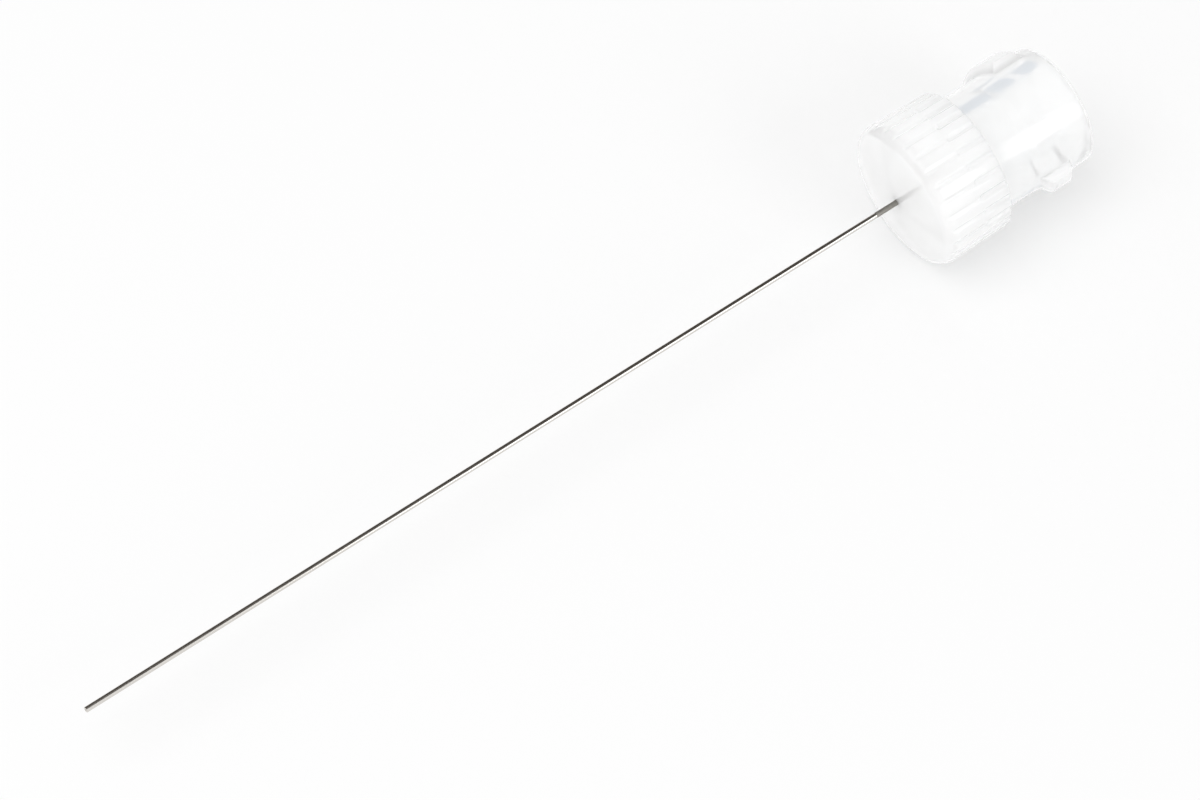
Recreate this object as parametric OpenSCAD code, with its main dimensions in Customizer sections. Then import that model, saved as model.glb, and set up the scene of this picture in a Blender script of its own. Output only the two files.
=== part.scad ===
// Dispensing needle tip: a blunt stainless tube bonded into a moulded hub with a
// female luer-lock socket. Millimetres. The axis lies along X with the tube
// towards -X, +Z is up, and the origin is the centre of the hub's rear rim.

/* [Needle tube] */
// Outside diameter of the tube
tube_od = 0.31; // [0.26:0.01:0.46]
// Bore of the tube
tube_id = 0.16; // [0.10:0.01:0.18]
// Length of tube that stands out of the dome
tube_reach = 50.8; // [12.7:0.1:63.5]
// Depth that is ground off the tube where it is bonded
tube_key_depth = 0.005; // [0.005:0.005:0.02]
// Length of ground tube that shows in front of the dome
tube_key_reach = 0.75; // [0.5:0.05:1.5]
// Length over which the grinding runs out to the full diameter
tube_key_runout = 0.6; // [0.55:0.05:0.8]
// Break of the tube's outer edge at its tip
tip_break = 0.03; // [0.01:0.01:0.03]

/* [Hub] */
// Length of the hub from its rear rim to the top of its dome
hub_length = 10.55; // [10.4:0.05:10.8]
// Diameter of the rear barrel
barrel_d = 6.8; // [6.7:0.05:7.0]
// Radius of the barrel's rear rim
rim_r = 0.3; // [0.2:0.05:0.5]
// Length of the barrel, rear rim to cone
barrel_length = 3.4; // [3.2:0.05:3.5]
// Diameter of the neck between barrel and grip
neck_d = 6.68; // [6.4:0.02:6.68]
// Length of the cone that joins barrel and neck
neck_cone = 0.55; // [0.3:0.05:0.7]

/* [Grip] */
// Length of the ribbed grip, shoulder to top of dome
grip_length = 4.5; // [4.2:0.02:4.6]
// Diameter across the ribs at the dome end
grip_d = 8.3; // [8.0:0.02:8.4]
// Mould draft of the grip's side, in degrees
grip_draft = 1.4; // [0.5:0.1:2]
// Radius of the dome's face
dome_r = 22; // [16:1:40]
// Radius between dome and grip
dome_edge_r = 0.7; // [0.4:0.05:0.8]
// Number of flutes round the grip
flute_count = 28; // [24:2:32]
// Radius of a flute's round floor
flute_r = 0.2; // [0.15:0.01:0.25]
// Depth of the flutes in front of the step
flute_depth_front = 0.1; // [0.06:0.01:0.14]
// Depth of the flutes behind the step
flute_depth_rear = 0.24; // [0.16:0.01:0.3]
// Distance from the top of the dome to the step in the flutes
flute_step = 2.95; // [2.4:0.05:3.4]

/* [Lock ears] */
// Diameter across the two ears
ear_span = 7.8; // [7.5:0.05:7.83]
// Width of an ear, measured across the hub
ear_width = 3.4; // [2.8:0.1:3.8]
// Distance from the rear rim to the ears' rear foot
ear_start = 1.25; // [1.1:0.05:1.4]
// Length of an ear at its foot
ear_length = 1.95; // [1.7:0.05:2.0]
// Length of the slope at an ear's rear
ear_rear_slope = 0.35; // [0.1:0.05:0.5]
// Length of the slope at an ear's front
ear_front_slope = 0.45; // [0.3:0.05:0.6]
// Rise of the mating thread in one turn, which the ears follow
thread_lead = 5; // [4:0.5:6]

/* [Luer socket] */
// Diameter of the socket at the rear rim
socket_mouth_d = 4.3; // [4.27:0.005:4.315]
// Depth of the socket
socket_depth = 7.5; // [7.4:0.05:7.6]
// Diameter lost per unit of depth
socket_taper = 0.06; // [0.05:0.01:0.07]
// Width of the chamfer at the mouth
mouth_chamfer = 0.15; // [0.05:0.05:0.25]

/* [Adhesive well] */
// Diameter of the well at the socket's floor
well_d = 2.4; // [1.8:0.1:2.8]
// Diameter of the well's own floor
well_floor_d = 0.9; // [0.7:0.05:1.2]
// Depth of the well
well_depth = 0.9; // [0.8:0.02:1.0]
// Depth of the adhesive in the well
bead_depth = 0.45; // [0.3:0.05:0.5]
// Length of tube that stands out of the adhesive
tube_proud = 0.15; // [0.05:0.05:0.25]

/* [Hidden] */
$fn = 96;
cut = 1;                                        // how far a cutter runs past a face
shoulder_z = hub_length - grip_length;
neck_z = barrel_length + neck_cone;
grip_rear_r = grip_d / 2 - (grip_length - dome_edge_r) * tan(grip_draft);
dome_centre_z = hub_length - dome_r;
edge_centre_r = grip_d / 2 - dome_edge_r;
edge_centre_z = dome_centre_z + sqrt(pow(dome_r - dome_edge_r, 2) - pow(edge_centre_r, 2));
dome_angle = asin(edge_centre_r / (dome_r - dome_edge_r));
socket_floor_d = socket_mouth_d - socket_taper * socket_depth;
well_floor_z = socket_depth + well_depth;
bead_z = well_floor_z - bead_depth;
bead_rear_d = well_floor_d + (well_d - well_floor_d) * bead_depth / well_depth;
key_d = tube_od - 2 * tube_key_depth;
tube_rear_z = bead_z - tube_proud;
tube_tip_z = hub_length + tube_reach;
flute_pitch = 360 / flute_count;
ear_tilt = atan(thread_lead / (PI * ear_span));
lie_angle = 5 * flute_pitch;                    // the hub lies on a rib, with an ear 26 degrees above +Y

// Points of an arc about [r, z], by angle from the axis direction +Z
function arc(r, z, radius, from, to, steps) =
    [for (i = [0:steps]) let (a = from + (to - from) * i / steps) [r + radius * sin(a), z + radius * cos(a)]];

// Outline of the hub's outside, from the axis at the rear rim round to the top of the dome
function hub_outline() = concat(
    [[0, 0]],
    arc(barrel_d / 2 - rim_r, rim_r, rim_r, 180, 90, 6),
    [[barrel_d / 2, barrel_length], [neck_d / 2, neck_z], [neck_d / 2, shoulder_z], [grip_rear_r, shoulder_z]],
    arc(edge_centre_r, edge_centre_z, dome_edge_r, 90 - grip_draft, dome_angle, 8),
    arc(0, dome_centre_z, dome_r, dome_angle * 7 / 8, 0, 7));

// Every piece is drawn upright on its axis, rear rim at z = 0, and then laid down
module lie() {
    rotate([0, -90, 0]) rotate([0, 0, lie_angle]) children();
}

// One flute of the grip, from height z upwards
module flute(depth, z, top) {
    translate([grip_d / 2 - depth + flute_r, 0, z]) cylinder(r = flute_r, h = top - z);
}

// All flutes: shallow along the whole grip, deep behind the step
module flutes() {
    step_z = hub_length - flute_step;
    for (i = [0:flute_count - 1]) {
        rotate([0, 0, (i + 0.5) * flute_pitch]) {
            flute(flute_depth_front, shoulder_z - cut, hub_length);
            flute(flute_depth_rear, shoulder_z - cut, step_z);
        }
    }
}

// The two luer-lock ears: a sloped ring, tilted to the thread's rise and cut to the ears' width
module lock_ears() {
    foot_r = neck_d / 2 - cut;
    end_z = ear_start + ear_length;
    middle_z = ear_start + ear_length / 2;
    beyond = 1.5;                               // the slopes run on past the ears' top, by this factor
    beyond_r = barrel_d / 2 + beyond * (ear_span - barrel_d) / 2;
    for (side = [0, 180]) rotate([0, 0, side]) intersection() {
        translate([0, 0, middle_z]) rotate([ear_tilt, 0, 0]) translate([0, 0, -middle_z])
            rotate_extrude() polygon([
                [foot_r, ear_start],
                [barrel_d / 2, ear_start],
                [beyond_r, ear_start + beyond * ear_rear_slope],
                [beyond_r, end_z - beyond * ear_front_slope],
                [barrel_d / 2, end_z],
                [foot_r, end_z]]);
        cylinder(d = ear_span, h = hub_length);
        translate([0, -ear_width / 2, 0]) cube([ear_span, ear_width, hub_length]);
    }
}

// Everything hollow in the hub: luer socket with its mouth chamfer, well and tube passage
module passages() {
    mouth_r = socket_mouth_d / 2;
    rotate_extrude() polygon([
        [0, -cut],
        [mouth_r + mouth_chamfer + cut, -cut],
        [mouth_r, mouth_chamfer],
        [socket_floor_d / 2, socket_depth],
        [well_d / 2, socket_depth],
        [well_floor_d / 2, well_floor_z],
        [0, well_floor_z]]);
    cylinder(d = key_d, h = hub_length + cut);
}

module hub() {
    color([0.95, 0.96, 0.96]) lie() difference() {
        union() {
            difference() {
                rotate_extrude() polygon(hub_outline());
                flutes();
            }
            lock_ears();
        }
        passages();
    }
}

// The tube: ground where it is bonded, bright in front of that, its tip edge broken
module needle_tube() {
    key_end_z = hub_length + tube_key_reach;
    color([0.62, 0.62, 0.60]) lie() rotate_extrude() polygon([
        [tube_id / 2, tube_rear_z],
        [key_d / 2, tube_rear_z],
        [key_d / 2, key_end_z],
        [tube_od / 2, key_end_z + tube_key_runout],
        [tube_od / 2, tube_tip_z - tip_break],
        [tube_od / 2 - tip_break, tube_tip_z],
        [tube_id / 2, tube_tip_z]]);
}

module adhesive_bead() {
    color([0.85, 0.80, 0.62]) lie() translate([0, 0, bead_z]) difference() {
        cylinder(d1 = bead_rear_d, d2 = well_floor_d, h = bead_depth);
        translate([0, 0, -cut]) cylinder(d = key_d, h = bead_depth + 2 * cut);
    }
}

hub();
needle_tube();
adhesive_bead();
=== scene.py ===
import math

import bmesh
import bpy
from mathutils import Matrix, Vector


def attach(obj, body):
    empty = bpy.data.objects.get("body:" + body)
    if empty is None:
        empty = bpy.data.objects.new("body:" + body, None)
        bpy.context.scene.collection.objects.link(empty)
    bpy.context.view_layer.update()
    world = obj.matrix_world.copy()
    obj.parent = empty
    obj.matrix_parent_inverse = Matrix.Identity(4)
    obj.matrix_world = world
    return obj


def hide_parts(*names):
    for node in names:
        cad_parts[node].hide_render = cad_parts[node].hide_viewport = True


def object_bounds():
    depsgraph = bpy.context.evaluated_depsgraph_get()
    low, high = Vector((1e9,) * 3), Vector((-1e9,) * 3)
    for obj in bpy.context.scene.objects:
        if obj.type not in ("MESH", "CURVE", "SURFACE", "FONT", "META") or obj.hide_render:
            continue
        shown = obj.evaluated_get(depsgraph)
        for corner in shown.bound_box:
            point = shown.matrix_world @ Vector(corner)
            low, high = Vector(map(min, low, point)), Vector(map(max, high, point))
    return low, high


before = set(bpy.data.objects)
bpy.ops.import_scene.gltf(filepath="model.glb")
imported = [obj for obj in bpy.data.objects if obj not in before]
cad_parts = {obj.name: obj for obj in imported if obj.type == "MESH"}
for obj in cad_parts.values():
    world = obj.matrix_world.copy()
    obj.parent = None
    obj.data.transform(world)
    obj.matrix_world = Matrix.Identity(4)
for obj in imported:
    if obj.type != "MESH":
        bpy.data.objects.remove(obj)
cad_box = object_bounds()


# Hub: one injection moulding of natural polypropylene. A domed, ribbed grip in front, a neck and
# a barrel behind it, two luer-lock ears on the barrel, and a tapered socket, a glue well and the
# tube's passage inside. Sizes are millimetres: heights run from the rear rim towards the tube.

MM = 0.001

HUB_LENGTH = 10.55
BARREL_R = 3.4
BARREL_LENGTH = 3.4
NECK_R = 3.34
NECK_CONE = 0.55
GRIP_LENGTH = 4.5
GRIP_R = 4.15
GRIP_DRAFT = math.radians(1.4)
DOME_R = 22
SOCKET_R = 2.15
SOCKET_FLOOR_R = 1.925
SOCKET_DEPTH = 7.5
MOUTH_CHAMFER = 0.15
WELL_R = 1.2
WELL_FLOOR_R = 0.45
WELL_FLOOR = 8.4
WETTED_R = 0.145                 # just inside the tube's skin: the bond leaves no air between them
MOULD_EDGE = 0.06                # the small radius that every edge of the mould leaves

FLUTE_COUNT = 28
FLUTE_WIDTH = 0.48               # across the deep stretch
REAR_FLUTE_DEPTH = 0.24
FRONT_FLUTE_DEPTH = 0.1
FLUTE_STEP = 7.6                 # height at which the flutes change from deep to shallow
STEP_LENGTH = 0.3
FLUTE_EDGE = 0.14

EAR_R = 3.9
EAR_HALF_WIDTH = 1.7
EAR_START = 1.25
EAR_END = 3.2
EAR_REAR_SLOPE = 0.35
EAR_FRONT_SLOPE = 0.45
EAR_ANGLE = 5 * 2 * math.pi / FLUTE_COUNT       # one ear's angle from +Z towards +Y
THREAD_LEAD = 5
OUTSIDE_R = 2.6                  # between the socket's wall and the barrel's


ARC_STEP = 0.07


def rounded(corners):
    """An outline with its corners turned to arcs. A corner is (height, radius, arc radius)."""
    points = []
    for i, (height, radius, arc) in enumerate(corners):
        here = Vector((height, radius))
        if not arc:
            points.append(here)
            continue
        before, after = Vector(corners[i - 1][:2]), Vector(corners[(i + 1) % len(corners)][:2])
        to_before, to_after = (before - here).normalized(), (after - here).normalized()
        half = to_before.angle(to_after) / 2
        centre = here + (to_before + to_after).normalized() * arc / math.sin(half)
        first = here + to_before * arc / math.tan(half) - centre
        last = here + to_after * arc / math.tan(half) - centre
        turn = first.angle(last)
        steps = max(3, math.ceil(arc * turn / ARC_STEP))
        for k in range(steps + 1):
            a, b = math.sin((1 - k / steps) * turn), math.sin(k / steps * turn)
            points.append(centre + (first * a + last * b) / math.sin(turn))
    return points


def lathe(name, outline, angles):
    """A closed ring of the outline, turned about the axis. The angles run from +Z towards +Y."""
    columns, rows = len(angles), len(outline)
    points = [(-h * MM, r * math.sin(a) * MM, r * math.cos(a) * MM)
              for h, r in outline for a in angles]
    faces = []
    for i in range(rows):
        low, high = i * columns, (i + 1) % rows * columns
        for j in range(columns):
            k = (j + 1) % columns
            faces.append((low + j, high + j, high + k, low + k))
    mesh = bpy.data.meshes.new(name)
    mesh.from_pydata(points, [], faces)
    shape = bmesh.new()
    shape.from_mesh(mesh)
    bmesh.ops.recalc_face_normals(shape, faces=shape.faces)
    shape.to_mesh(mesh)
    shape.free()
    piece = bpy.data.objects.new(name, mesh)
    bpy.context.scene.collection.objects.link(piece)
    return piece


def add(tree, kind, inputs, **settings):
    """Adds a node with its settings. An input takes a value, a socket, or a node's first output."""
    node = tree.nodes.new(kind)
    for name, value in settings.items():
        setattr(node, name, value)
    for key, value in inputs.items():
        if isinstance(value, bpy.types.Node):
            value = value.outputs[0]
        if isinstance(value, bpy.types.NodeSocket):
            tree.links.new(value, node.inputs[key])
        else:
            node.inputs[key].default_value = value
    return node


def linear(code):
    """An sRGB hex colour as linear RGBA."""
    parts = [int(code[i:i + 2], 16) / 255 for i in (1, 3, 5)]
    return [c / 12.92 if c <= 0.04045 else ((c + 0.055) / 1.055) ** 2.4 for c in parts] + [1]


def new_material(name):
    """A material and its node tree, still empty."""
    material = bpy.data.materials.new(name)
    material.use_nodes = True
    material.node_tree.nodes.clear()
    return material, material.node_tree


# Natural polypropylene, injection moulded against a polished mould: milky and translucent under a
# glossy skin. Most light scatters within a few millimetres. The rest passes, mirrors on the wall of
# the socket, and shows the tube's root softly: most in the socket's own wall and the thin walls
# round it, least in the thick front and the ears. The skin has a faint orange peel and flow marks.
SOCKET_CLEARNESS = 0.7
REAR_CLEARNESS = 0.24
REAR_START = -5.5 * MM           # behind this, the walls round the socket are thin
FRONT_CLEARNESS = 0.07
FRONT_END = -7.5 * MM            # in front of this, the plastic is thick
CLEAR_BARREL_R = 3.45 * MM
MILKY_EAR_R = 3.7 * MM           # past this radius there are only the ears and the grip, both thick
SOCKET_SKIN_R = 2.3 * MM         # the socket's own skin is inside this radius, behind this end
SOCKET_SKIN_END = -7.6 * MM
SCATTER_LENGTH = 2 * MM
PEEL_WIDTH = 0.35 * MM
PEEL_HEIGHT = 0.0015 * MM
FLOW_WIDTH = 2.5 * MM

polypropylene, tree = new_material("natural polypropylene, moulded")
where = add(tree, "ShaderNodeTexCoord", {}).outputs["Object"]
peel = add(tree, "ShaderNodeTexNoise", {"Vector": where, "Scale": 1 / PEEL_WIDTH, "Detail": 1.0})
skin_bump = add(tree, "ShaderNodeBump", {"Height": peel, "Distance": PEEL_HEIGHT})
flow = add(tree, "ShaderNodeTexNoise", {"Vector": where, "Scale": 1 / FLOW_WIDTH, "Detail": 2.0})
gloss = add(tree, "ShaderNodeMapRange", {
    "Value": flow, "From Min": 0.3, "From Max": 0.7, "To Min": 0.09, "To Max": 0.13,
})
along_axis = add(tree, "ShaderNodeSeparateXYZ", {0: where}).outputs["X"]
across_axis = add(tree, "ShaderNodeVectorMath", {0: where, 1: (0.0, 1.0, 1.0)},
                  operation="MULTIPLY")
off_axis = add(tree, "ShaderNodeVectorMath", {0: across_axis}, operation="LENGTH").outputs["Value"]
behind = add(tree, "ShaderNodeMapRange", {
    "Value": along_axis, "From Min": FRONT_END, "From Max": REAR_START,
})
low = add(tree, "ShaderNodeMapRange", {
    "Value": off_axis, "From Min": MILKY_EAR_R, "From Max": CLEAR_BARREL_R,
})
thinness = add(tree, "ShaderNodeMath", {0: behind, 1: low}, operation="MULTIPLY")
outer = add(tree, "ShaderNodeMapRange", {
    "Value": thinness, "To Min": FRONT_CLEARNESS, "To Max": REAR_CLEARNESS,
})
in_socket = add(tree, "ShaderNodeMath", {0: off_axis, 1: SOCKET_SKIN_R}, operation="LESS_THAN")
not_dome = add(tree, "ShaderNodeMath", {0: along_axis, 1: SOCKET_SKIN_END},
               operation="GREATER_THAN")
socket = add(tree, "ShaderNodeMath", {0: in_socket, 1: not_dome}, operation="MULTIPLY")
socket_part = add(tree, "ShaderNodeMath", {0: socket, 1: SOCKET_CLEARNESS}, operation="MULTIPLY")
wall = add(tree, "ShaderNodeMath", {0: outer, 1: socket_part}, operation="MAXIMUM")
inside = add(tree, "ShaderNodeNewGeometry", {}).outputs["Backfacing"]    # light already in the wall
clear = add(tree, "ShaderNodeMath", {0: inside, 1: wall}, operation="MAXIMUM")
skin = add(tree, "ShaderNodeBsdfPrincipled", {
    "Base Color": linear("#FDFEFE"),
    "Roughness": gloss,
    "IOR": 1.49,
    "Transmission Weight": clear,
    "Subsurface Weight": 1.0,
    "Subsurface Radius": (1.0, 1.0, 1.0),
    "Subsurface Scale": SCATTER_LENGTH,
    "Coat Weight": 0.8,
    "Coat Roughness": 0.2,
    "Normal": skin_bump,
})
add(tree, "ShaderNodeOutputMaterial", {"Surface": skin})

# The flutes are pressed into the turned grip, and the ears raised from the turned barrel.
presses = bpy.data.node_groups.new("flutes and lock ears", "GeometryNodeTree")
presses.interface.new_socket(name="Geometry", in_out="OUTPUT", socket_type="NodeSocketGeometry")
presses.interface.new_socket(name="Geometry", in_out="INPUT", socket_type="NodeSocketGeometry")
presses.interface.new_socket(name="Material", in_out="INPUT", socket_type="NodeSocketMaterial")
SIZES = {
    "Flutes": FLUTE_COUNT,
    "Flute Width": FLUTE_WIDTH * MM,
    "Rear Flute Depth": REAR_FLUTE_DEPTH * MM,
    "Front Flute Depth": FRONT_FLUTE_DEPTH * MM,
    "Flute Step": FLUTE_STEP * MM,
    "Step Length": STEP_LENGTH * MM,
    "Grip Radius": GRIP_R * MM,
    "Barrel Radius": BARREL_R * MM,
    "Ear Radius": EAR_R * MM,
    "Ear Half Width": EAR_HALF_WIDTH * MM,
    "Ear Start": EAR_START * MM,
    "Ear End": EAR_END * MM,
    "Rear Slope": EAR_REAR_SLOPE * MM,
    "Front Slope": EAR_FRONT_SLOPE * MM,
    "Ear Angle": EAR_ANGLE,
    "Thread Lead": THREAD_LEAD * MM,
    "Outside Radius": OUTSIDE_R * MM,
    "Flute Edge Radius": FLUTE_EDGE * MM,
    "Edge Radius": MOULD_EDGE * MM,
}
for name in SIZES:
    presses.interface.new_socket(name=name, in_out="INPUT", socket_type="NodeSocketFloat")
size = add(presses, "NodeGroupInput", {}).outputs
position = add(presses, "GeometryNodeInputPosition", {})
place = add(presses, "ShaderNodeSeparateXYZ", {0: position})
height = add(presses, "ShaderNodeMath", {0: place.outputs["X"], 1: -1.0}, operation="MULTIPLY")
angle = add(presses, "ShaderNodeMath", {0: place.outputs["Y"], 1: place.outputs["Z"]},
            operation="ARCTAN2")
flat = add(presses, "ShaderNodeCombineXYZ", {"Y": place.outputs["Y"], "Z": place.outputs["Z"]})
radius = add(presses, "ShaderNodeVectorMath", {0: flat}, operation="LENGTH").outputs["Value"]

# angle from the middle of the nearest flute
pitch = add(presses, "ShaderNodeMath", {0: 2 * math.pi, 1: size["Flutes"]}, operation="DIVIDE")
turns = add(presses, "ShaderNodeMath", {0: angle, 1: pitch}, operation="DIVIDE")
part_turn = add(presses, "ShaderNodeMath", {0: turns}, operation="FRACT")
off_turn = add(presses, "ShaderNodeMath", {0: part_turn, 1: 0.5}, operation="SUBTRACT")
off_angle = add(presses, "ShaderNodeMath", {0: off_turn, 1: pitch}, operation="MULTIPLY")

# radius of the flute's hollow there, which rises from its floor with the square of the offset
past_step = add(presses, "ShaderNodeMath", {0: height, 1: size["Flute Step"]}, operation="SUBTRACT")
depth = add(presses, "ShaderNodeMapRange", {
    "Value": past_step,
    "From Min": 0.0,
    "From Max": size["Step Length"],
    "To Min": size["Rear Flute Depth"],
    "To Max": size["Front Flute Depth"],
}, interpolation_type="SMOOTHSTEP")
floor_r = add(presses, "ShaderNodeMath", {0: size["Grip Radius"], 1: depth}, operation="SUBTRACT")
across = add(presses, "ShaderNodeMath", {0: off_angle, 1: size["Grip Radius"]},
             operation="MULTIPLY")
half_width = add(presses, "ShaderNodeMath", {0: size["Flute Width"], 1: 0.5}, operation="MULTIPLY")
share_across = add(presses, "ShaderNodeMath", {0: across, 1: half_width}, operation="DIVIDE")
squared = add(presses, "ShaderNodeMath", {0: share_across, 1: share_across}, operation="MULTIPLY")
groove_r = add(presses, "ShaderNodeMath", {0: squared, 1: size["Rear Flute Depth"], 2: floor_r},
               operation="MULTIPLY_ADD")
pressed = add(presses, "ShaderNodeMath", {0: radius, 1: groove_r, 2: size["Flute Edge Radius"]},
              operation="SMOOTH_MIN")

# radius of the ears: two slopes that follow the thread, the top between them, and two flat sides
from_ear = add(presses, "ShaderNodeMath", {0: angle, 1: size["Ear Angle"]}, operation="SUBTRACT")
round_ear = add(presses, "ShaderNodeMath", {0: from_ear, 1: math.pi / 2, 2: -math.pi / 2},
                operation="WRAP")
share_of_turn = add(presses, "ShaderNodeMath", {0: round_ear, 1: 2 * math.pi}, operation="DIVIDE")
climb = add(presses, "ShaderNodeMath", {0: share_of_turn, 1: size["Thread Lead"]},
            operation="MULTIPLY")
thread_height = add(presses, "ShaderNodeMath", {0: height, 1: climb}, operation="SUBTRACT")
past_start = add(presses, "ShaderNodeMath", {0: thread_height, 1: size["Ear Start"]},
                 operation="SUBTRACT")
rise = add(presses, "ShaderNodeMapRange", {
    "Value": past_start,
    "From Min": 0.0,
    "From Max": size["Rear Slope"],
    "To Min": size["Barrel Radius"],
    "To Max": size["Ear Radius"],
}, clamp=False)
before_end = add(presses, "ShaderNodeMath", {0: size["Ear End"], 1: thread_height},
                 operation="SUBTRACT")
fall = add(presses, "ShaderNodeMapRange", {
    "Value": before_end,
    "From Min": 0.0,
    "From Max": size["Front Slope"],
    "To Min": size["Barrel Radius"],
    "To Max": size["Ear Radius"],
}, clamp=False)
slopes = add(presses, "ShaderNodeMath", {0: rise, 1: fall, 2: size["Edge Radius"]},
             operation="SMOOTH_MIN")
top = add(presses, "ShaderNodeMath", {0: slopes, 1: size["Ear Radius"], 2: size["Edge Radius"]},
          operation="SMOOTH_MIN")
ear_sine = add(presses, "ShaderNodeMath", {0: round_ear}, operation="SINE")
ear_across = add(presses, "ShaderNodeMath", {0: ear_sine}, operation="ABSOLUTE")
not_zero = add(presses, "ShaderNodeMath", {0: ear_across, 1: 0.01}, operation="MAXIMUM")
side = add(presses, "ShaderNodeMath", {0: size["Ear Half Width"], 1: not_zero}, operation="DIVIDE")
ear = add(presses, "ShaderNodeMath", {0: top, 1: side, 2: size["Edge Radius"]},
          operation="SMOOTH_MIN")
raised = add(presses, "ShaderNodeMath", {0: pressed, 1: ear, 2: size["Edge Radius"]},
             operation="SMOOTH_MAX")

# the socket keeps its radius, and every other point moves to its new one
outside = add(presses, "ShaderNodeMath", {0: radius, 1: size["Outside Radius"]},
              operation="GREATER_THAN")
new_r = add(presses, "ShaderNodeMix", {"Factor": outside, "A": radius, "B": raised},
            data_type="FLOAT")
scale = add(presses, "ShaderNodeMath", {0: new_r.outputs["Result"], 1: radius}, operation="DIVIDE")
stretch = add(presses, "ShaderNodeCombineXYZ", {"X": 1.0, "Y": scale, "Z": scale})
moved = add(presses, "ShaderNodeVectorMath", {0: position, 1: stretch}, operation="MULTIPLY")
shaped = add(presses, "GeometryNodeSetPosition", {"Geometry": size["Geometry"], "Position": moved})
real = add(presses, "GeometryNodeRealizeInstances", {0: shaped})
coated = add(presses, "GeometryNodeSetMaterial", {"Geometry": real, "Material": size["Material"]})
add(presses, "NodeGroupOutput", {0: coated})


def settle(piece, group, inputs):
    """Runs a node group on a piece, and keeps the result as the piece's plain mesh."""
    modifier = piece.modifiers.new(group.name, "NODES")
    modifier.node_group = group
    for item in group.interface.items_tree:
        if item.in_out == "INPUT" and item.name in inputs:
            modifier[item.identifier] = inputs[item.name]
    ready = piece.evaluated_get(bpy.context.evaluated_depsgraph_get())
    mesh = bpy.data.meshes.new_from_object(ready)
    piece.modifiers.remove(modifier)
    piece.data = mesh


# The outline runs from the socket's mouth over the outside to the dome, and back through the
# tube's passage, the well and the socket. Its rows are close where the ears and the step rise.
DOME_EDGE_ARC = 0.7
DOME_EDGE_R = GRIP_R + 0.004     # where grip and dome would meet without that arc
EAR_ROWS = 43
EAR_ROWS_START = 0.75            # the ears lean with their thread, and reach back nearly to here
EAR_ROW_STEP = 0.06
STEP_ROWS = 6
TAPER_ROWS = 8

shoulder = HUB_LENGTH - GRIP_LENGTH
grip_rear_r = GRIP_R - (GRIP_LENGTH - DOME_EDGE_ARC) * math.tan(GRIP_DRAFT)
grip_step_r = grip_rear_r + (FLUTE_STEP - shoulder) * math.tan(GRIP_DRAFT)
dome_centre = HUB_LENGTH - DOME_R
dome_edge = dome_centre + math.sqrt(DOME_R**2 - GRIP_R**2)
corners = [(0, SOCKET_R + MOUTH_CHAMFER, 0.04), (0, BARREL_R, 0.3)]
corners += [(EAR_ROWS_START + EAR_ROW_STEP * i, BARREL_R, 0) for i in range(EAR_ROWS)]
corners += [(BARREL_LENGTH, BARREL_R, 0.1)]
corners += [(BARREL_LENGTH + NECK_CONE * i, BARREL_R + (NECK_R - BARREL_R) * i, 0)
            for i in (0.15, 0.25, 0.35, 0.45, 0.55)]
corners += [(BARREL_LENGTH + NECK_CONE, NECK_R, 0.1)]
corners += [(shoulder, NECK_R, 0.15), (shoulder, grip_rear_r, 0.07)]
corners += [(FLUTE_STEP + STEP_LENGTH * (i / STEP_ROWS), grip_step_r, 0)
            for i in range(STEP_ROWS + 1)]
corners += [(dome_edge, DOME_EDGE_R, DOME_EDGE_ARC)]
corners += [(dome_centre + math.sqrt(DOME_R**2 - r**2), r, 0)
            for r in (3.0, 2.4, 1.8, 1.2, 0.6, 0.3)]
corners += [(HUB_LENGTH, WETTED_R, 0.03), (WELL_FLOOR, WETTED_R, 0)]
corners += [(WELL_FLOOR, WELL_FLOOR_R, 0.05), (SOCKET_DEPTH, WELL_R, 0.05)]
corners += [(SOCKET_DEPTH, SOCKET_FLOOR_R, 0.1)]
corners += [(SOCKET_DEPTH * (1 - i / TAPER_ROWS),
             SOCKET_FLOOR_R + (SOCKET_R - SOCKET_FLOOR_R) * i / TAPER_ROWS, 0)
            for i in range(1, TAPER_ROWS)]
corners += [(MOUTH_CHAMFER, SOCKET_R, 0.04)]

# The columns of the mesh gather in the flutes, where the shape turns most.
COLUMNS_A_FLUTE = 20
GATHER = 0.5

columns = []
for i in range(FLUTE_COUNT * COLUMNS_A_FLUTE):
    t = i / COLUMNS_A_FLUTE
    gathered = t + GATHER * math.sin(2 * math.pi * t) / (2 * math.pi)
    columns.append(gathered * 2 * math.pi / FLUTE_COUNT)
hub = lathe("hub_moulding", rounded(corners), columns)
hub.data.materials.append(polypropylene)
settle(hub, presses, {**SIZES, "Material": polypropylene})
hub.data.shade_smooth()
hub.data.set_sharp_from_angle(angle=math.radians(40))
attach(hub, "root")
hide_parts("hub")


# Needle tube: 30 gauge seamless stainless tube, cold drawn bright. Its root, which runs on for 1.3
# mm in front of the dome, is a little thinner and a darker, duller grey. Its tip is cut square and
# deburred.
TUBE_R = 0.155
TUBE_BORE_R = 0.08
SKIN_R = 0.1                     # between the bore's wall and the tube's skin
DULL_ROOT_R = 0.15                     # the dull grey root, which is a little thinner
DULL_ROOT_END = HUB_LENGTH + 0.75      # from here it slopes up to the full tube
BRIGHT_START = HUB_LENGTH + 1.35
TUBE_REAR = 7.8
TUBE_TIP = HUB_LENGTH + 50.8
TUBE_SIDES = 48

outline = rounded([
    (TUBE_REAR, TUBE_BORE_R, 0.01), (TUBE_REAR, DULL_ROOT_R, 0.01),
    (DULL_ROOT_END, DULL_ROOT_R, 0), (BRIGHT_START, TUBE_R, 0),
    (TUBE_TIP, TUBE_R, 0.04), (TUBE_TIP, TUBE_BORE_R, 0.015),
])
columns = [2 * math.pi * i / TUBE_SIDES for i in range(TUBE_SIDES)]
tube = lathe("needle_tube_drawn", outline, columns)

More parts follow.
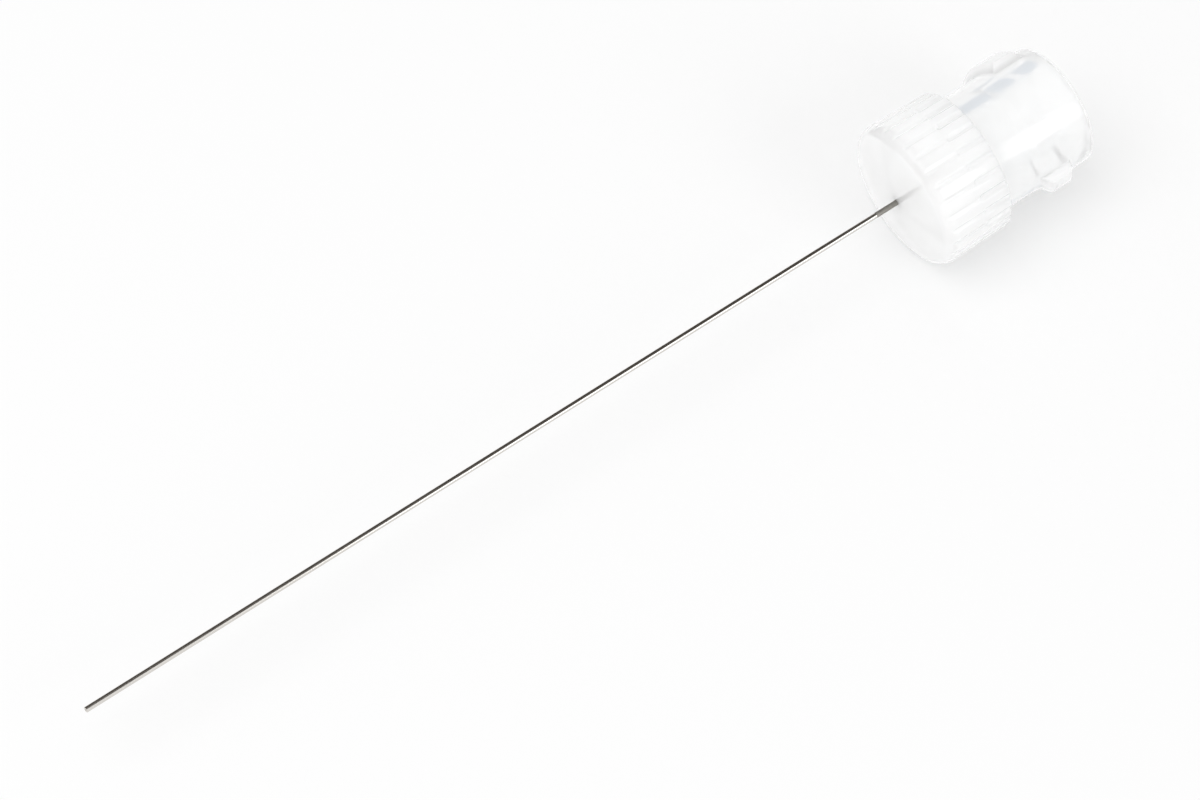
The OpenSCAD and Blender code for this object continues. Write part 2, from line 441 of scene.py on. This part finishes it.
# Stainless steel, bright drawn: a smooth grey mirror with fine die lines along it.
DIE_LINE_WIDTH = 0.02 * MM
DIE_LINE_LENGTH = 3 * MM
DIE_LINE_DEPTH = 0.0002 * MM

bright_steel, tree = new_material("stainless steel, bright drawn")
stretched = add(tree, "ShaderNodeMapping", {
    "Vector": add(tree, "ShaderNodeTexCoord", {}).outputs["Object"],
    "Scale": (1 / DIE_LINE_LENGTH, 1 / DIE_LINE_WIDTH, 1 / DIE_LINE_WIDTH),
})
die_lines = add(tree, "ShaderNodeTexNoise", {"Vector": stretched, "Scale": 1.0, "Detail": 2.0})
gloss = add(tree, "ShaderNodeMapRange", {
    "Value": die_lines, "From Min": 0.3, "From Max": 0.7, "To Min": 0.14, "To Max": 0.22,
})
skin = add(tree, "ShaderNodeBsdfPrincipled", {
    "Base Color": linear("#D8D5D0"),
    "Metallic": 1.0,
    "Roughness": gloss,
    "Normal": add(tree, "ShaderNodeBump", {"Height": die_lines, "Distance": DIE_LINE_DEPTH}),
})
add(tree, "ShaderNodeOutputMaterial", {"Surface": skin})

# Stainless steel, a darker and duller grey, with scratches round the tube.
SCRATCH_WIDTH = 0.03 * MM
SCRATCH_LENGTH = 0.4 * MM
SCRATCH_DEPTH = 0.002 * MM

dull_root_steel, tree = new_material("stainless steel, dull grey root")
stretched = add(tree, "ShaderNodeMapping", {
    "Vector": add(tree, "ShaderNodeTexCoord", {}).outputs["Object"],
    "Scale": (1 / SCRATCH_WIDTH, 1 / SCRATCH_LENGTH, 1 / SCRATCH_LENGTH),
})
scratches = add(tree, "ShaderNodeTexNoise", {"Vector": stretched, "Scale": 1.0, "Detail": 3.0})
tone = add(tree, "ShaderNodeMix", {
    "Factor": scratches, "A": linear("#8D8A85"), "B": linear("#B3B0AA"),
}, data_type="RGBA")
skin = add(tree, "ShaderNodeBsdfPrincipled", {
    "Base Color": tone.outputs["Result"],
    "Metallic": 1.0,
    "Roughness": 0.55,
    "Normal": add(tree, "ShaderNodeBump", {"Height": scratches, "Distance": SCRATCH_DEPTH}),
})
add(tree, "ShaderNodeOutputMaterial", {"Surface": skin})

tube.data.materials.append(bright_steel)
tube.data.materials.append(dull_root_steel)
# The root and its first 1.35 mm in front of the dome take the darker, duller grey steel.
for face in tube.data.polygons:
    at_root = -face.center.x < BRIGHT_START * MM
    on_skin = face.center.yz.length > SKIN_R * MM
    face.material_index = 1 if at_root and on_skin else 0
tube.data.shade_smooth()
tube.data.set_sharp_from_angle(angle=math.radians(35))
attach(tube, "root")
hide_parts("needle_tube")


# Adhesive bead: clear epoxy, dosed into the well at the socket's floor and cured. It wets the
# tube and the well's wall, so its rear face is a shallow bowl.
BEAD_REAR = 7.95
BEAD_R = 0.825
SUNK = 0.003                     # the bead goes this far into the well's skin: no air shows there
BEAD_SIDES = 64

outline = rounded([
    (WELL_FLOOR + SUNK, WETTED_R, 0), (BEAD_REAR - 0.06, WETTED_R, 0),
    (BEAD_REAR - 0.01, WETTED_R + 0.06, 0), (BEAD_REAR + 0.02, 0.35, 0), (BEAD_REAR + 0.02, 0.6, 0),
    (BEAD_REAR - 0.01, 0.77, 0), (BEAD_REAR - 0.05, BEAD_R + 0.045, 0),
    (WELL_FLOOR + SUNK, WELL_FLOOR_R + SUNK, 0),
])
columns = [2 * math.pi * i / BEAD_SIDES for i in range(BEAD_SIDES)]
bead = lathe("adhesive_bead_cured", outline, columns)

# Epoxy, cured clear: glassy, with a faint amber tint.
epoxy, tree = new_material("epoxy, cured clear")
skin = add(tree, "ShaderNodeBsdfPrincipled", {
    "Base Color": linear("#F6F1E2"),
    "Roughness": 0.05,
    "IOR": 1.55,
    "Transmission Weight": 1.0,
})
add(tree, "ShaderNodeOutputMaterial", {"Surface": skin})

bead.data.materials.append(epoxy)
bead.data.shade_smooth()
bead.data.set_sharp_from_angle(angle=math.radians(50))
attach(bead, "root")
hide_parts("adhesive_bead")


# Floor: a wide sheet of matt white paper, which takes the part's soft shadow. To the camera it is
# one third plain white, and in steel and clear plastic it is plain white altogether.
FLOOR_SIZE = 6
PLAIN_WHITE_SHARE = 0.33

bpy.ops.mesh.primitive_plane_add(size=FLOOR_SIZE, location=(0, 0, cad_box[0][2]))
floor = bpy.context.object
floor.name = "floor"
paper, tree = new_material("white paper")
ray = add(tree, "ShaderNodeLightPath", {}).outputs
seen = add(tree, "ShaderNodeMath", {0: ray["Is Glossy Ray"], 1: ray["Is Transmission Ray"]},
           operation="MAXIMUM")
part_white = add(tree, "ShaderNodeMath", {0: ray["Is Camera Ray"], 1: PLAIN_WHITE_SHARE},
                 operation="MULTIPLY")
share = add(tree, "ShaderNodeMath", {0: part_white, 1: seen}, operation="MAXIMUM")
matt = add(tree, "ShaderNodeBsdfDiffuse", {"Color": linear("#F9F9F9")})
white = add(tree, "ShaderNodeEmission", {"Strength": 1.0})
surface = add(tree, "ShaderNodeMixShader", {0: share, 1: matt, 2: white})
add(tree, "ShaderNodeOutputMaterial", {"Surface": surface})
floor.data.materials.append(paper)


# Blue card: matt paper that stands on the floor behind the part. It is seen only through the hub,
# where the socket's wall mirrors it as the blue marks on the neck and the barrel.
CARD_TURN = math.radians(66)
CARD_PLACE = Vector((0.7, 12.8)) * MM
CARD_HALF_WIDTH = 5 * MM
CARD_HEIGHT = 9 * MM


def stage_card(name, points, faces, colour, hidden_from):
    """A matt card of the studio, which the named kinds of ray don't see."""
    mesh = bpy.data.meshes.new(name)
    mesh.from_pydata(points, [], faces)
    card = bpy.data.objects.new(name, mesh)
    bpy.context.scene.collection.objects.link(card)
    paper, tree = new_material(name + ", matt paper")
    matt = add(tree, "ShaderNodeBsdfDiffuse", {"Color": linear(colour)})
    add(tree, "ShaderNodeOutputMaterial", {"Surface": matt})
    card.data.materials.append(paper)
    for ray_kind in hidden_from:
        setattr(card, "visible_" + ray_kind, False)


along = Vector((-math.sin(CARD_TURN), math.cos(CARD_TURN))) * CARD_HALF_WIDTH
left, right = CARD_PLACE - along, CARD_PLACE + along
feet = cad_box[0][2]
tops = feet + CARD_HEIGHT
points = [(*left, feet), (*right, feet), (*right, tops), (*left, tops)]
stage_card("blue card", points, [(0, 1, 2, 3)], "#0A6E9C", ("camera", "diffuse", "glossy", "shadow"))


# Dark flag: matt grey paper, bent over the tube. It is seen only in the tube's bright steel, where
# it draws the dark line along the upper side. Its lower corner near the hub is cut off slantwise,
# which keeps it out of the hub's own gloss.
FLAG_R = 10 * MM
FLAG_STRIPS = 16
FLAG_FIRST = math.radians(-12)
FLAG_STRIP = math.radians(8)
FLAG_TIP_END = 66
FLAG_HUB_END = 7
FLAG_CUT = 5
FLAG_CUT_STRIPS = 4

points = []
for i in range(FLAG_STRIPS + 1):
    turn = FLAG_FIRST + FLAG_STRIP * i
    hub_end = FLAG_HUB_END + FLAG_CUT * (1 - min(i / FLAG_CUT_STRIPS, 1))
    across, up = FLAG_R * math.cos(turn), FLAG_R * math.sin(turn)
    points += [(-hub_end * MM, across, up), (-FLAG_TIP_END * MM, across, up)]
strips = [(2 * i, 2 * i + 1, 2 * i + 3, 2 * i + 2) for i in range(FLAG_STRIPS)]
stage_card("dark flag", points, strips, "#544F4B", ("camera", "diffuse", "transmission", "shadow"))


# Studio: an even white room, a soft overhead lamp on the side of the tube's tip, and a soft lamp
# in front.
AMBIENT = 0.755

world = bpy.data.worlds.new("studio")
bpy.context.scene.world = world
world.use_nodes = True
tree = world.node_tree
tree.nodes.clear()
ray = add(tree, "ShaderNodeLightPath", {}).outputs
ambient = add(tree, "ShaderNodeBackground", {"Color": linear("#FFFFFF"), "Strength": AMBIENT})
white = add(tree, "ShaderNodeBackground", {"Color": linear("#FFFFFF"), "Strength": 1.0})
through = add(tree, "ShaderNodeMath", {0: ray["Is Camera Ray"], 1: ray["Is Transmission Ray"]},
              operation="MAXIMUM")
seen = add(tree, "ShaderNodeMath", {0: through, 1: ray["Is Glossy Ray"]}, operation="MAXIMUM")
surround = add(tree, "ShaderNodeMixShader", {0: seen, 1: ambient, 2: white})
add(tree, "ShaderNodeOutputWorld", {"Surface": surround})


def lamp(name, place, aim, width, power):
    """A square softbox at a place, turned to its aim. Lengths are metres, the power is watts."""
    light = bpy.data.lights.new(name, "AREA")
    light.size = width
    light.energy = power
    source = bpy.data.objects.new(name, light)
    source.location = place
    source.rotation_euler = (Vector(aim) - Vector(place)).to_track_quat("-Z", "Y").to_euler()
    bpy.context.scene.collection.objects.link(source)


lamp("overhead softbox", (-0.17, 0.05, 0.36), (-0.02, 0, 0), 0.3, 0.42)
lamp("front softbox", (0.13, -0.45, 0.3), (-0.03, 0, 0), 0.26, 0.42)


# Camera: a long lens, well above the part, that looks from the side of the tube's tip. It takes in
# the whole part, with a margin round it.
CAMERA_PLACE = Vector((-0.12312, -0.12793, 0.26361))
CAMERA_AIM = Vector((-0.02826, 0.00198, -0.00529))

lens = bpy.data.cameras.new("camera")
lens.lens = 180
lens.sensor_width = 36
camera = bpy.data.objects.new("camera", lens)
camera.location = CAMERA_PLACE
camera.rotation_euler = (CAMERA_AIM - CAMERA_PLACE).to_track_quat("-Z", "Y").to_euler()
bpy.context.scene.collection.objects.link(camera)
bpy.context.scene.camera = camera
bpy.context.scene.view_settings.view_transform = "Standard"
